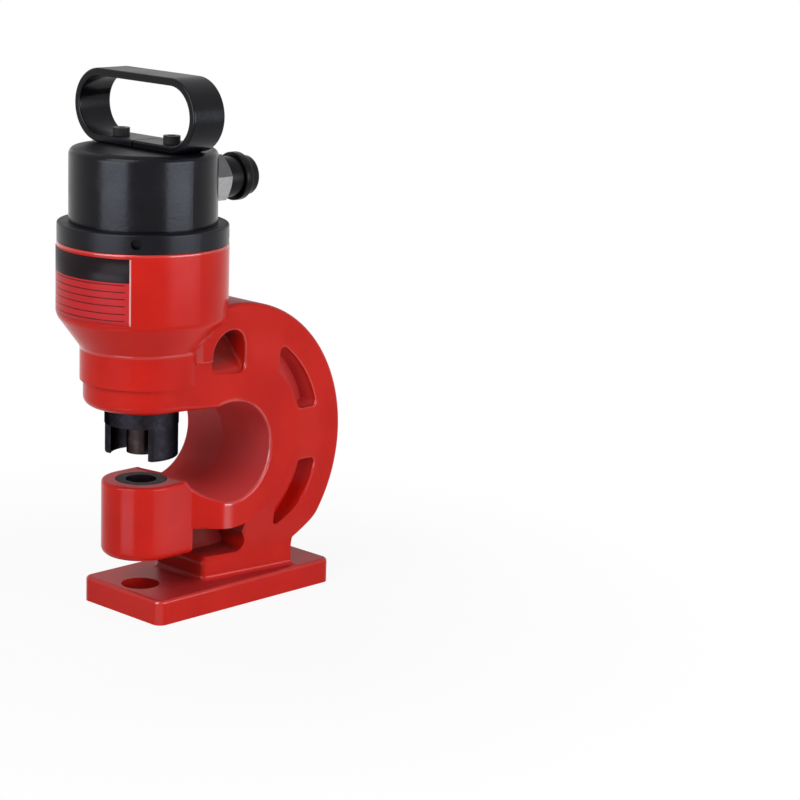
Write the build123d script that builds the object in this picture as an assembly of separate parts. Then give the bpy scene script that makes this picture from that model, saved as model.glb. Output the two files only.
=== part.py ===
from build123d import *
import os
from math import cos, hypot, pi, radians, sin, sqrt, tan

# A hydraulic C-frame punching head for busbar: a one-piece frame with a foot, a die boss and a cylinder
# housing, a spring-return ram with its punch and stripper, and a capped hydraulic coupler.
# Millimetres. Z is the punch axis, the foot stands on Z = 0 and the open throat faces -Y.

FIT = 0.05  # radial clearance of threads, pressed rings and running fits
OVERRUN = 1.0  # how far a cutter runs past the face it cuts

# Foot plate
FOOT_WIDTH = 78.0
FOOT_LENGTH = 155.0
FOOT_FRONT = 17.1  # punch axis to front edge
FOOT_THICK = 16.8
FOOT_CORNER_R = 6.0
FOOT_EDGE_R = 2.5
SLUG_HOLE_R = 12.6

# Ring of the C, seen from the side: outer rim, throat and their centres
RING_Y = 44.8
RING_Z = 110.2
RING_R = 96.0
RING_HALF_WIDTH = 42.0
RING_EDGE_R = 3.0
THROAT_Y = 42.8
THROAT_Z = 107.4
THROAT_MID_R = 28.5  # on the mid-plane, where the draft makes a ridge
THROAT_EDGE_R = 33.7  # on the side faces
THROAT_LIP_R = 2.0  # round along its edges and over the boss

# Die boss and lower arm
BOSS_R = 26.0
BOSS_TOP = 88.5
BOSS_BOTTOM = 38.5
BOSS_BOTTOM_EDGE_R = 5.0
ARM_FLANGE_R = 51.2  # underside of the lower arm, about the throat's centre
FLARE_LAND = 1.6  # flat left on the boss's side behind the round of its rear corner
FLARE_START_R = 3.0
FLARE_END_Y = 38.0
FLARE_END_R = 15.0

# Column between the foot and the ring
COLUMN_FRONT_Y = 34.0
COLUMN_REAR_Y = 106.0
COLUMN_FRONT_HALF = 24.0  # half width at the foot
COLUMN_REAR_HALF = 32.5
COLUMN_CORNER_R = 4.0
COLUMN_COVE_R = 3.5
WAIST_TOP = 28.0  # the column is straight up to here
SKIRT_RISE = (4.0, 15.0, 30.0, 42.0, 54.0)  # heights over the waist at which the column has widened
SKIRT_SET_BACK = (0.0, -3.0, 4.0, 11.0, 11.0)  # its front face there, behind the column's
SKIRT_FRONT_WIDER = (0.2, 3.0, 11.5, 17.6, 19.0)  # and what each half has gained in width
SKIRT_REAR_WIDER = (0.2, 3.5, 8.0, 9.8, 10.6)

# Relief pockets in both side faces
ARC_POCKET_INNER_R = 62.0  # at the pocket's floor
ARC_POCKET_OUTER_R = 73.7
ARC_POCKET_LEVEL = 20.0  # its level end, above and below the ring's centre
ARC_POCKET_FRONT = 36.0  # its steep end, behind the ring's centre at that level
ARC_POCKET_LEAN = 8.0  # degrees
ARC_POCKET_DEPTH = 13.0
ARC_POCKET_CORNER_R = 1.5
ARCH_POCKET_FRONT = 27.8
ARCH_POCKET_REAR = 48.9
ARCH_POCKET_BOTTOM = 163.5
ARCH_POCKET_TOP = 185.8
ARCH_POCKET_FRONT_R = 13.8  # the arch falls away more slowly towards the neck
ARCH_POCKET_REAR_R = 7.2
ARCH_POCKET_CORNER_R = 3.0
ARCH_POCKET_DEPTH = 20.0  # at the top, from where the floor slopes out
ARCH_POCKET_SILL = 3.5  # depth left at the bottom
ARCH_POCKET_FLOOR_R = 2.0
ARM_POCKET_FRONT = 25.0
ARM_POCKET_REAR = 65.0  # at the bottom
ARM_POCKET_LEAN = 9.0  # how far the rear end has come forward at the top of the flange
ARM_POCKET_BOTTOM = 36.0
ARM_POCKET_CORNER_R = 3.0
ARM_POCKET_FLOOR = 11.0  # half thickness of the web that is left
POCKET_DRAFT = 10.0
POCKET_EDGE_R = 1.5

# Cylinder housing, from its nose upwards
NOSE_BOTTOM = 139.0
NOSE_R = 38.1
NOSE_EDGE_R = 6.0
NOSE_STEP = 156.0
NECK_R = 40.3
NECK_TOP = 178.0
HOUSING_PROUD = 0.3  # of the lock ring
SHOULDER = 198.5
SHOULDER_R = 6.0
HOUSING_TOP = 246.3
HOUSING_EDGE_R = 1.5
NOSE_FLAT_Y = 32.0  # how far back the faced underside of the nose runs
CHEEK_HALF = 37.9  # half width of the upper arm's cheeks at the punch axis
CHEEK_END_Y = 51.0  # where they reach the ring's full width
CHEEK_END_R = 60.0
CHEEK_TOP = 170.0
SLAB_FRONT_Y = 15.0  # front of the full width over the cheeks
SLAB_SLOPE = 7.0  # length of the slope from there into the neck
SLAB_SLOPE_IN = 5.6
SLAB_EDGE_R = 1.5

# Ram, punch and guide
STROKE = 25.0
ROD_R = 18.0
ROD_SPIGOT_R = 15.0
ROD_SPIGOT_LENGTH = 10.5
PUNCH_TIP = 107.0
PUNCH_R = 9.75
PUNCH_HEAD_R = 13.5
PUNCH_HEAD = 8.0
PUNCH_NUT_R = 18.4
PUNCH_NUT_BOTTOM = 128.0
PUNCH_NUT_LIP = 4.0
WIPER_R = 21.0
WIPER_LENGTH = 4.0
GUIDE_LIP = 2.0
GUIDE_LIP_GAP = 0.6
BUSH_R = 23.0
BUSH_LENGTH = 21.0

# Stripper
STRIPPER_R = 24.2
STRIPPER_BORE_R = 20.0
STRIPPER_BOTTOM = 105.0
STRIPPER_RING = 12.0  # depth of the closed ring under the nose
STRIPPER_SPIGOT_R = 22.6
STRIPPER_SPIGOT = 12.0
PRONG_HALF_WIDTH = 12.1
PRONG_EDGE_R = 2.0
STRIPPER_TURN = 9.0  # degrees, where its thread brings the prongs to rest

# Die
DIE_R = 16.9
DIE_DEPTH = 20.0
DIE_CLEARANCE = 0.35
DIE_LAND = 7.0
DIE_RELIEF = 1.4
DIE_CHAMFER = 0.6
DIE_SCREW_R = 4.0
DIE_SCREW_LENGTH = 7.0
DIE_SCREW_HEX = 4.0
DIE_SCREW_SOCKET = 3.0

# Cylinder barrel, lock ring and piston
BARREL_BORE_R = 37.5
BARREL_SKIRT_WALL = 6.5
BARREL_STEP = 3.6  # shoulder over the lock ring
BARREL_TOP = 306.0
BARREL_EDGE_R = 4.5
BARREL_END_WALL = 40.0
BARREL_BELOW_STROKE = 10.0  # skirt left below the piston at the end of its stroke
SPRING_ROOM_R = 30.0
LOCK_RING_WALL = 11.0
LOCK_RING_THICK = 12.2
LOCK_RING_EDGE_R = 1.2
SPANNER_HOLES = 4
SPANNER_HOLE_R = 3.4
SPANNER_HOLE_DEPTH = 6.0
PISTON_THICK = 25.5
PISTON_END_GAP = 0.5
WEAR_RING_OFFSET = 3.0  # piston underside to the groove
WEAR_RING_WIDTH = 6.0
WEAR_RING_DEPTH = 2.4
SEAL_OFFSET = 13.0
SEAL_WIDTH = 6.0
BACKUP_WIDTH = 2.5
SEAL_DEPTH = 5.4

# Return spring
SPRING_WIRE = 5.0
SPRING_MEAN_R = 24.5
SPRING_TURNS = 6

# Carrying handle
HANDLE_LENGTH = 116.0
HANDLE_HEIGHT = 47.5
HANDLE_THICK = 5.0
HANDLE_WIDTH = 26.0
HANDLE_EDGE_R = 1.2
HANDLE_SET_BACK = 3.6
HANDLE_BUTT_GAP = 1.0
HANDLE_BOLT_X = 24.5
HANDLE_BOLT_Y = 2.0
BOLT_R = 4.0
BOLT_DEPTH = 12.0
BOLT_HEAD_R = 5.5
BOLT_HEAD = 5.0
BOLT_HEX = 5.0
BOLT_SOCKET = 3.0

# Hydraulic coupler, along +Y
COUPLER_Z = 281.5
PORT_R = 9.0
PORT_DEPTH = 18.0
PORT_FACE_R = 18.0
PORT_FACE_DEPTH = 2.6  # flat below the barrel's round
OIL_WAY_R = 3.0
PORT_SEAL_R = 13.0
PORT_SEAL_THICK = 1.5
COUPLER_HEX = 30.0  # across flats
COUPLER_HEX_LENGTH = 16.0
COUPLER_HEX_TURN = 8.0  # degrees, where the thread tightens
HEX_CHAMFER_SLOPE = 0.6
NIPPLE_R = 9.5
NIPPLE_LENGTH = 21.0
NIPPLE_BORE_R = 6.5
NIPPLE_GROOVE_R = 8.3
NIPPLE_GROOVE_WIDTH = 4.0
NIPPLE_GROOVE_OFFSET = 10.0  # groove to tip
NIPPLE_EDGE = 1.0
OIL_BORE_R = 4.0
VALVE_SEAT_LENGTH = 6.0
VALVE_MOUTH_R = 4.2
POPPET_GAP = 0.1
POPPET_STEM_R = 4.1
POPPET_HEAD_R = 6.1
POPPET_HEAD = 6.0
POPPET_TAIL_R = 3.2
POPPET_TAIL = 7.0
VALVE_WIRE = 1.2
VALVE_SPRING_R = 4.7
VALVE_SPRING_TURNS = 6

# Dust cap of the coupler
CAP_GAP = 0.3
CAP_BODY_R = 13.6
CAP_RIM_R = 16.0
CAP_RIM_LENGTH = 6.5
CAP_RIM_EDGE_R = 1.2
CAP_CROWN_R = 12.5
CAP_CROWN = 1.5  # how far the end stands proud of the rim
CAP_END_WALL = 4.0
CAP_END_ROOM = 1.5

# Heights and places that follow from the sizes above
BARREL_SKIRT_R = BARREL_BORE_R + BARREL_SKIRT_WALL
BARREL_R = BARREL_SKIRT_R + BARREL_STEP
LOCK_RING_R = BARREL_SKIRT_R + LOCK_RING_WALL
HOUSING_R = LOCK_RING_R + HOUSING_PROUD
PORT_FACE_Y = BARREL_R - PORT_FACE_DEPTH
GUIDE_BOTTOM = NOSE_BOTTOM + STRIPPER_SPIGOT + WIPER_LENGTH + GUIDE_LIP
SPRING_SEAT = GUIDE_BOTTOM + BUSH_LENGTH
BARREL_SHOULDER = HOUSING_TOP + LOCK_RING_THICK
BARREL_BORE_TOP = BARREL_TOP - BARREL_END_WALL
PISTON_R = BARREL_BORE_R - FIT
PISTON_TOP = BARREL_BORE_TOP - PISTON_END_GAP
PISTON_BOTTOM = PISTON_TOP - PISTON_THICK
BARREL_BOTTOM = PISTON_BOTTOM - STROKE - BARREL_BELOW_STROKE
PUNCH_TOP = PUNCH_NUT_BOTTOM + PUNCH_NUT_LIP + PUNCH_HEAD
SPIGOT_TOP = PUNCH_TOP + ROD_SPIGOT_LENGTH
HANDLE_FLOOR = BARREL_TOP + HANDLE_THICK
HEX_START = PORT_FACE_Y + PORT_SEAL_THICK
HEX_END = HEX_START + COUPLER_HEX_LENGTH
NIPPLE_TIP = HEX_END + NIPPLE_LENGTH
VALVE_SEAT_Y = NIPPLE_TIP - VALVE_SEAT_LENGTH
POPPET_FACE = VALVE_SEAT_Y - POPPET_GAP
POPPET_BACK = POPPET_FACE - POPPET_HEAD
DIE_BORE_R = PUNCH_R + DIE_CLEARANCE
CAP_START = HEX_END + CAP_GAP
CAP_TIP = NIPPLE_TIP + CAP_END_ROOM + CAP_END_WALL


def outline(*corners):
    """Closed face through (x, y) corners; a corner with a third number is rounded to that radius."""
    shape = make_face(Polyline(*[c[:2] for c in corners], close=True))
    for corner in corners:
        if len(corner) == 3:
            vertex = shape.vertices().sort_by_distance((corner[0], corner[1], 0))[0]
            shape = fillet(vertex, corner[2])
    return shape


def turned(*corners):
    """Solid turned about the punch axis from (radius, height) corners."""
    return revolve(Plane.XZ * outline(*corners), Axis.Z)


def turned_on_coupler(*corners):
    """Solid turned about the coupler's axis from (radius, distance along +Y) corners."""
    place = Plane((0, 0, COUPLER_Z), x_dir=(1, 0, 0), z_dir=(0, 0, 1))
    return revolve(place * outline(*corners), Axis((0, 0, COUPLER_Z), (0, 1, 0)))


def ring(inner_r, outer_r, bottom, top):
    """Plain ring about the punch axis."""
    return turned((inner_r, bottom), (outer_r, bottom), (outer_r, top), (inner_r, top))


def block(low, high):
    """Box between two corners."""
    size = [b - a for a, b in zip(low, high)]
    return Pos(*low) * Box(*size, align=(Align.MIN, Align.MIN, Align.MIN))


def side_prism(sketch, half_width):
    """Prism through the frame from a (y, z) sketch."""
    return extrude(Plane.YZ * sketch, half_width, both=True)


def foot_plate():
    plate = extrude(RectangleRounded(FOOT_WIDTH, FOOT_LENGTH, FOOT_CORNER_R), FOOT_THICK)
    plate = fillet(plate.faces().sort_by(Axis.Z)[-1].edges(), FOOT_EDGE_R)
    return Pos(0, FOOT_LENGTH / 2 - FOOT_FRONT, 0) * plate


def ring_disc():
    """The ring by itself: a round-edged disc with the throat cut out and three pockets in each side."""
    disc = side_prism(Pos(RING_Y, RING_Z) * Circle(RING_R), RING_HALF_WIDTH)
    disc = fillet(disc.edges().filter_by(GeomType.CIRCLE), RING_EDGE_R) - throat()
    lower_arc = side_pocket(arc_pocket_outline(), RING_HALF_WIDTH - ARC_POCKET_DEPTH)
    upper_arc = mirror(lower_arc, Plane((0, 0, RING_Z)))
    cutters = [arch_pocket(), lower_arc, upper_arc]
    for cutter in cutters:
        disc = disc - cutter - mirror(cutter, Plane.YZ)
    sides = disc.faces().filter_by(Axis.X).sort_by(Axis.X)
    mouths = []
    for side in (sides[0], sides[-1]):
        for wire in side.inner_wires():
            mouths += wire.edges()
    return fillet(mouths, POCKET_EDGE_R)


def arc_pocket_outline():
    """Quarter of a band round the throat, ended level at the ring's rib and steeply over the column."""
    reach = 2 * ARC_POCKET_OUTER_R
    quarter = outline(
        (ARC_POCKET_FRONT, -ARC_POCKET_LEVEL),
        (reach, -ARC_POCKET_LEVEL),
        (reach, -ARC_POCKET_LEVEL - reach),
        (ARC_POCKET_FRONT + reach * tan(radians(ARC_POCKET_LEAN)), -ARC_POCKET_LEVEL - reach),
    )
    band = (Circle(ARC_POCKET_OUTER_R) - Circle(ARC_POCKET_INNER_R)) & quarter
    return Pos(RING_Y, RING_Z) * fillet(band.vertices(), ARC_POCKET_CORNER_R)


def symmetric_plan(*edge):
    """Face, symmetric about X = 0, from the (x, y) points of its +X edge, front to rear."""
    return outline(*edge, *[(-point[0], *point[1:]) for point in reversed(edge)])


def plan_prism(plan, bottom, top):
    return Pos(0, 0, bottom) * extrude(plan, top - bottom)


def cheek_half(y):
    """Half width of the upper arm's cheeks at a distance behind the punch axis."""
    return CHEEK_HALF + (RING_HALF_WIDTH - CHEEK_HALF) * y / CHEEK_END_Y


def upper_arm_plan(front):
    """Plan of the upper arm from a distance behind the punch axis, widening to the ring."""
    full = CHEEK_END_Y + CHEEK_END_R / 10
    rear = RING_Y + RING_R + OVERRUN
    return symmetric_plan(
        (cheek_half(front), front),
        (RING_HALF_WIDTH, CHEEK_END_Y, CHEEK_END_R),
        (RING_HALF_WIDTH, full),
        (RING_HALF_WIDTH + OVERRUN, full),
        (RING_HALF_WIDTH + OVERRUN, rear),
    )


def upper_slab():
    """Space kept of the ring over the cheeks, at its full width from just behind the neck."""
    half = RING_HALF_WIDTH
    middle = (ARCH_POCKET_FRONT + ARCH_POCKET_REAR) / 2
    rear = RING_Y + RING_R + OVERRUN
    plan = symmetric_plan(
        (half - SLAB_SLOPE_IN, SLAB_FRONT_Y - SLAB_SLOPE),
        (half, SLAB_FRONT_Y, SLAB_EDGE_R),
        (half, middle),
        (half + OVERRUN, middle),
        (half + OVERRUN, rear),
    )
    slab = plan_prism(plan, CHEEK_TOP, RING_Z + RING_R + OVERRUN)
    lower = slab.faces().sort_by(Axis.Z)[0].edges()
    beside = lower.filter_by(lambda e: FIT < abs(e.center().X) < half + FIT)
    return fillet(beside.filter_by(lambda e: e.bounding_box().max.Y < middle + FIT), SLAB_EDGE_R)


def upper_limits():
    """Space kept of the ring above the skirt: all of it behind, and in front what the arm's cheeks leave."""
    clear = RING_HALF_WIDTH + OVERRUN
    skirt_top = WAIST_TOP + SKIRT_RISE[-1]
    rear = RING_Y + RING_R + OVERRUN
    behind_throat = block((-clear, THROAT_Y, skirt_top - OVERRUN), (clear, rear, THROAT_Z))
    arm = plan_prism(upper_arm_plan(NOSE_FLAT_Y), THROAT_Z, NOSE_STEP)
    cheeks = plan_prism(upper_arm_plan(0), NOSE_STEP, CHEEK_TOP)
    return behind_throat + arm + cheeks + upper_slab()


def flare_start():
    """Where the lower arm starts to flare, behind the rounded rear corner of the boss's top."""
    drop = THROAT_Z - BOSS_TOP + THROAT_LIP_R
    return THROAT_Y - sqrt(throat_radius(BOSS_R) ** 2 - drop**2) + FLARE_LAND


def flange_outline():
    """Side view of the lower arm: flat below in front, round about the throat behind."""
    front = Pos(THROAT_Y / 2, THROAT_Z - ARM_FLANGE_R / 2) * Rectangle(THROAT_Y, ARM_FLANGE_R)
    return front + Pos(THROAT_Y, THROAT_Z) * Circle(ARM_FLANGE_R)


def lower_arm_limits():
    """Space kept of the ring for the lower arm, which flares from the boss to the ring's full width."""
    half = RING_HALF_WIDTH
    clear = half + OVERRUN
    plan = symmetric_plan(
        (BOSS_R, COLUMN_FRONT_Y - BOSS_R),
        (BOSS_R, flare_start(), FLARE_START_R),
        (half, FLARE_END_Y, FLARE_END_R),
        (half, THROAT_Y + FLARE_END_R),
        (clear, THROAT_Y + FLARE_END_R),
        (clear, THROAT_Y + ARM_FLANGE_R + OVERRUN),
    )
    return side_prism(flange_outline(), clear) & plan_prism(plan, BOSS_BOTTOM, THROAT_Z)


def column_plan(set_back, front_wider, rear_wider):
    """Section of the column, run on to the back of the ring."""
    rear = RING_Y + RING_R + OVERRUN
    front = COLUMN_FRONT_Y + set_back
    front_half = COLUMN_FRONT_HALF + front_wider
    spread = (COLUMN_REAR_HALF + rear_wider - front_half) / (COLUMN_REAR_Y - front)
    rear_half = front_half + spread * (rear - front)
    return symmetric_plan((front_half, front, COLUMN_CORNER_R), (rear_half, rear))


def pedestal():
    """Foot plate and the straight part of the column, with a cove where they meet."""
    half = FOOT_WIDTH / 2
    waist = plan_prism(column_plan(0, 0, 0), FOOT_THICK - OVERRUN, WAIST_TOP)
    body = foot_plate() + (waist & block((-half, 0, 0), (half, COLUMN_REAR_Y, WAIST_TOP)))
    line = body.edges().filter_by_position(Axis.Z, FOOT_THICK, FOOT_THICK)
    line = line.filter_by_position(Axis.Y, COLUMN_FRONT_Y - OVERRUN, COLUMN_REAR_Y + OVERRUN)
    line = line.filter_by(lambda e: abs(e.center().X) < COLUMN_REAR_HALF)
    return fillet(line, COLUMN_COVE_R)


def skirt():
    """Upper part of the column: a loft through sections that widen as they climb into the ring."""
    sections = [Pos(0, 0, WAIST_TOP) * column_plan(0, 0, 0)]
    levels = zip(SKIRT_RISE, SKIRT_SET_BACK, SKIRT_FRONT_WIDER, SKIRT_REAR_WIDER)
    for rise, set_back, front_wider, rear_wider in levels:
        sections.append(Pos(0, 0, WAIST_TOP + rise) * column_plan(set_back, front_wider, rear_wider))
    return loft(sections)


def throat_radius(x):
    """Radius of the drafted throat at a distance from the mid-plane."""
    return THROAT_MID_R + (THROAT_EDGE_R - THROAT_MID_R) * abs(x) / RING_HALF_WIDTH


def on_lip(point):
    """Whether a point lies on the throat's wall or on the faced gap in front of it."""
    off_wall = hypot(point.Y - THROAT_Y, point.Z - THROAT_Z) - throat_radius(point.X)
    return abs(off_wall) < FIT or abs(point.Z - BOSS_TOP) < FIT


def ring_and_column():
    half = RING_HALF_WIDTH
    stem = block((-half, 0, WAIST_TOP), (half, COLUMN_REAR_Y, WAIST_TOP + SKIRT_RISE[1]))
    body = (ring_disc() + stem) & (upper_limits() + lower_arm_limits() + skirt())
    lip = body.edges().filter_by(lambda e: all(on_lip(e @ t) for t in (0, 0.5, 1)))
    lip = lip.filter_by(lambda e: e.bounding_box().size.Y > FIT)
    return fillet(lip, THROAT_LIP_R)


def die_boss():
    plan = Circle(BOSS_R) + Pos(0, COLUMN_FRONT_Y / 2) * Rectangle(2 * BOSS_R, COLUMN_FRONT_Y)
    boss = plan_prism(plan, BOSS_BOTTOM, BOSS_TOP)
    throat_side = (BOSS_R + OVERRUN, COLUMN_FRONT_Y + OVERRUN, BOSS_TOP + OVERRUN)
    step = THROAT_Z - THROAT_EDGE_R - OVERRUN
    boss = boss - block((-BOSS_R - OVERRUN, flare_start() - FLARE_START_R, step), throat_side)
    upper = boss.faces().sort_by(Axis.Z)[-1].edges().sort_by(Axis.Y)[:-1]
    boss = fillet(upper, THROAT_LIP_R)
    lower = boss.faces().sort_by(Axis.Z)[0].edges().sort_by(Axis.Y)[:-1]
    return fillet(lower, BOSS_BOTTOM_EDGE_R)


def cylinder_housing():
    return turned(
        (0, NOSE_BOTTOM),
        (NOSE_R, NOSE_BOTTOM, NOSE_EDGE_R),
        (NOSE_R, NOSE_STEP),
        (NECK_R, NOSE_STEP),
        (NECK_R, NECK_TOP, SHOULDER_R),
        (HOUSING_R, SHOULDER, SHOULDER_R),
        (HOUSING_R, HOUSING_TOP, HOUSING_EDGE_R),
        (0, HOUSING_TOP),
    )


def nose_cheeks():
    """Sides that carry the nose back to the upper arm, where its rounded lower edge fades to the throat's."""
    sections = []
    for y, edge_r in ((0, NOSE_EDGE_R), (NOSE_FLAT_Y, THROAT_LIP_R)):
        place = Plane((0, y, 0), x_dir=(1, 0, 0), z_dir=(0, -1, 0))
        profile = symmetric_plan((cheek_half(y), NOSE_BOTTOM, edge_r), (cheek_half(y), NOSE_STEP))
        sections.append(place * profile)
    return loft(sections, ruled=True)


def throat():
    """Drafted round throat, narrowest on the mid-plane, with the faced gap that opens it to the front."""
    reach = RING_HALF_WIDTH + OVERRUN
    wide = throat_radius(reach)
    half_section = outline((-reach, 0), (reach, 0), (reach, wide), (0, THROAT_MID_R), (-reach, wide))
    round_cut = revolve(Pos(0, THROAT_Y, THROAT_Z) * half_section, Axis((0, THROAT_Y, THROAT_Z), (1, 0, 0)))
    front = RING_Y - RING_R - OVERRUN
    gap = block((-reach, front, BOSS_TOP), (reach, NOSE_FLAT_Y, NOSE_BOTTOM))
    return round_cut + gap


def side_pocket(sketch, floor):
    """Drafted cutter for one pocket, from its floor out through the +X side face."""
    reach = RING_HALF_WIDTH + OVERRUN - floor
    place = Plane((floor, 0, 0), x_dir=(0, 1, 0), z_dir=(1, 0, 0))
    return extrude(place * sketch, reach, taper=-POCKET_DRAFT)


def arch_pocket():
    """Arched niche in the upper arm, behind the neck, whose floor slopes out towards its foot."""
    arch = outline(
        (ARCH_POCKET_FRONT, ARCH_POCKET_BOTTOM, ARCH_POCKET_CORNER_R),
        (ARCH_POCKET_REAR, ARCH_POCKET_BOTTOM, ARCH_POCKET_CORNER_R),
        (ARCH_POCKET_REAR, ARCH_POCKET_TOP, ARCH_POCKET_REAR_R),
        (ARCH_POCKET_FRONT, ARCH_POCKET_TOP, ARCH_POCKET_FRONT_R),
    )
    deep = RING_HALF_WIDTH - ARCH_POCKET_DEPTH
    run = (ARCH_POCKET_DEPTH - ARCH_POCKET_SILL) / (ARCH_POCKET_TOP - ARCH_POCKET_BOTTOM)
    margin = ARCH_POCKET_DEPTH / 2
    slope = outline(
        (0, ARCH_POCKET_BOTTOM - margin),
        (RING_HALF_WIDTH - ARCH_POCKET_SILL + run * margin, ARCH_POCKET_BOTTOM - margin),
        (deep - run * margin, ARCH_POCKET_TOP + margin),
        (0, ARCH_POCKET_TOP + margin),
    )
    wedge = extrude(Plane.XZ * slope, -ARCH_POCKET_REAR - margin)
    cutter = side_pocket(arch, deep) - wedge
    floor = cutter.faces().filter_by(lambda f: f.normal_at().X < 0 and abs(f.normal_at().Y) < 0.01)
    return fillet(floor.sort_by(SortBy.AREA)[-1].edges(), ARCH_POCKET_FLOOR_R)


def arm_pocket():
    """Pocket between the underside of the lower arm and the column."""
    top = THROAT_Z
    recess = outline(
        (ARM_POCKET_FRONT, ARM_POCKET_BOTTOM, ARM_POCKET_CORNER_R),
        (ARM_POCKET_REAR, ARM_POCKET_BOTTOM, ARM_POCKET_CORNER_R),
        (ARM_POCKET_REAR - ARM_POCKET_LEAN, BOSS_BOTTOM + ARM_POCKET_LEAN),
        (ARM_POCKET_REAR - ARM_POCKET_LEAN, top),
        (ARM_POCKET_FRONT, top),
    )
    cutter = side_pocket(recess, ARM_POCKET_FLOOR)
    return cutter - side_prism(flange_outline(), RING_HALF_WIDTH + 2 * OVERRUN)


def housing_bore():
    """Stepped bore from the stripper's socket up to the mouth for the barrel."""
    wiper_seat = NOSE_BOTTOM + STRIPPER_SPIGOT
    lip = wiper_seat + WIPER_LENGTH
    return turned(
        (0, NOSE_BOTTOM - OVERRUN),
        (STRIPPER_SPIGOT_R + FIT, NOSE_BOTTOM - OVERRUN),
        (STRIPPER_SPIGOT_R + FIT, wiper_seat),
        (WIPER_R + FIT, wiper_seat),
        (WIPER_R + FIT, lip),
        (ROD_R + GUIDE_LIP_GAP, lip),
        (ROD_R + GUIDE_LIP_GAP, GUIDE_BOTTOM),
        (BUSH_R + FIT, GUIDE_BOTTOM),
        (BUSH_R + FIT, SPRING_SEAT),
        (SPRING_ROOM_R, SPRING_SEAT),
        (SPRING_ROOM_R, BARREL_BOTTOM),
        (BARREL_SKIRT_R + FIT, BARREL_BOTTOM),
        (BARREL_SKIRT_R + FIT, HOUSING_TOP + OVERRUN),
        (0, HOUSING_TOP + OVERRUN),
    )


def die_screw_way(radius, start, length):
    """Rod for the die's grub screw, which comes in from the -X side of the boss."""
    axis = Plane((-start, 0, BOSS_TOP - DIE_DEPTH / 2), x_dir=(0, 1, 0), z_dir=(-1, 0, 0))
    return extrude(axis * Circle(radius), length)


def c_frame():
    """One casting: foot, column, ring, die boss and cylinder housing, with the machined bores cut last."""
    body = pedestal() + ring_and_column()
    body = body + die_boss() + cylinder_housing() + nose_cheeks()
    body = body - arm_pocket() - mirror(arm_pocket(), Plane.YZ)
    die_floor = BOSS_TOP - DIE_DEPTH
    body = body - housing_bore()
    body = body - ring(0, DIE_R + FIT, die_floor, BOSS_TOP + OVERRUN)
    body = body - ring(0, SLUG_HOLE_R, -OVERRUN, die_floor + OVERRUN)
    return body - die_screw_way(DIE_SCREW_R + FIT, DIE_R, BOSS_R)


def die():
    floor = BOSS_TOP - DIE_DEPTH
    land = BOSS_TOP - DIE_LAND
    return turned(
        (DIE_BORE_R + DIE_RELIEF, floor),
        (DIE_R, floor),
        (DIE_R, BOSS_TOP - DIE_CHAMFER),
        (DIE_R - DIE_CHAMFER, BOSS_TOP),
        (DIE_BORE_R, BOSS_TOP),
        (DIE_BORE_R, land),
        (DIE_BORE_R + DIE_RELIEF, land - DIE_RELIEF),
    )


def die_grub_screw():
    screw = die_screw_way(DIE_SCREW_R, DIE_R + FIT, DIE_SCREW_LENGTH)
    mouth = DIE_R + FIT + DIE_SCREW_LENGTH - DIE_SCREW_SOCKET
    axis = Plane((-mouth, 0, BOSS_TOP - DIE_DEPTH / 2), x_dir=(0, 1, 0), z_dir=(-1, 0, 0))
    return screw - extrude(axis * RegularPolygon(DIE_SCREW_HEX / 2, 6, major_radius=False), DIE_SCREW_SOCKET)


def stripper():
    """Ring that screws into the nose, with two prongs that hold the bar down beside the punch."""
    ring_bottom = NOSE_BOTTOM - STRIPPER_RING
    reach = STRIPPER_R + OVERRUN
    body = turned(
        (STRIPPER_BORE_R, STRIPPER_BOTTOM),
        (STRIPPER_R, STRIPPER_BOTTOM, PRONG_EDGE_R),
        (STRIPPER_R, NOSE_BOTTOM),
        (STRIPPER_SPIGOT_R, NOSE_BOTTOM),
        (STRIPPER_SPIGOT_R, NOSE_BOTTOM + STRIPPER_SPIGOT),
        (STRIPPER_BORE_R, NOSE_BOTTOM + STRIPPER_SPIGOT),
    )
    window = block((-reach, PRONG_HALF_WIDTH, STRIPPER_BOTTOM - OVERRUN), (reach, reach, ring_bottom))
    return Rot(0, 0, STRIPPER_TURN) * (body - window - mirror(window, Plane.XZ))


def rod_wiper():
    bottom = NOSE_BOTTOM + STRIPPER_SPIGOT
    return ring(ROD_R + FIT, WIPER_R, bottom, bottom + WIPER_LENGTH)


def guide_bush():
    return ring(ROD_R + FIT, BUSH_R, GUIDE_BOTTOM, SPRING_SEAT)


def ram():
    """Piston and rod in one piece, grooved for the wear ring and the seal, with a spigot for the nut."""
    wear = PISTON_BOTTOM + WEAR_RING_OFFSET
    seal = PISTON_BOTTOM + SEAL_OFFSET
    seal_top = seal + BACKUP_WIDTH + SEAL_WIDTH
    body = turned(
        (0, PUNCH_TOP),
        (ROD_SPIGOT_R, PUNCH_TOP),
        (ROD_SPIGOT_R, SPIGOT_TOP),
        (ROD_R, SPIGOT_TOP),
        (ROD_R, PISTON_BOTTOM),
        (PISTON_R, PISTON_BOTTOM),
        (PISTON_R, PISTON_TOP),
        (0, PISTON_TOP),
    )
    groove_r = PISTON_R + OVERRUN
    body = body - ring(PISTON_R - WEAR_RING_DEPTH, groove_r, wear, wear + WEAR_RING_WIDTH)
    return body - ring(PISTON_R - SEAL_DEPTH, groove_r, seal, seal_top)


def piston_wear_ring():
    bottom = PISTON_BOTTOM + WEAR_RING_OFFSET
    return ring(PISTON_R - WEAR_RING_DEPTH + FIT, PISTON_R, bottom, bottom + WEAR_RING_WIDTH)


def piston_backup_ring():
    bottom = PISTON_BOTTOM + SEAL_OFFSET
    return ring(PISTON_R - SEAL_DEPTH + FIT, PISTON_R, bottom, bottom + BACKUP_WIDTH)


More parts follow.
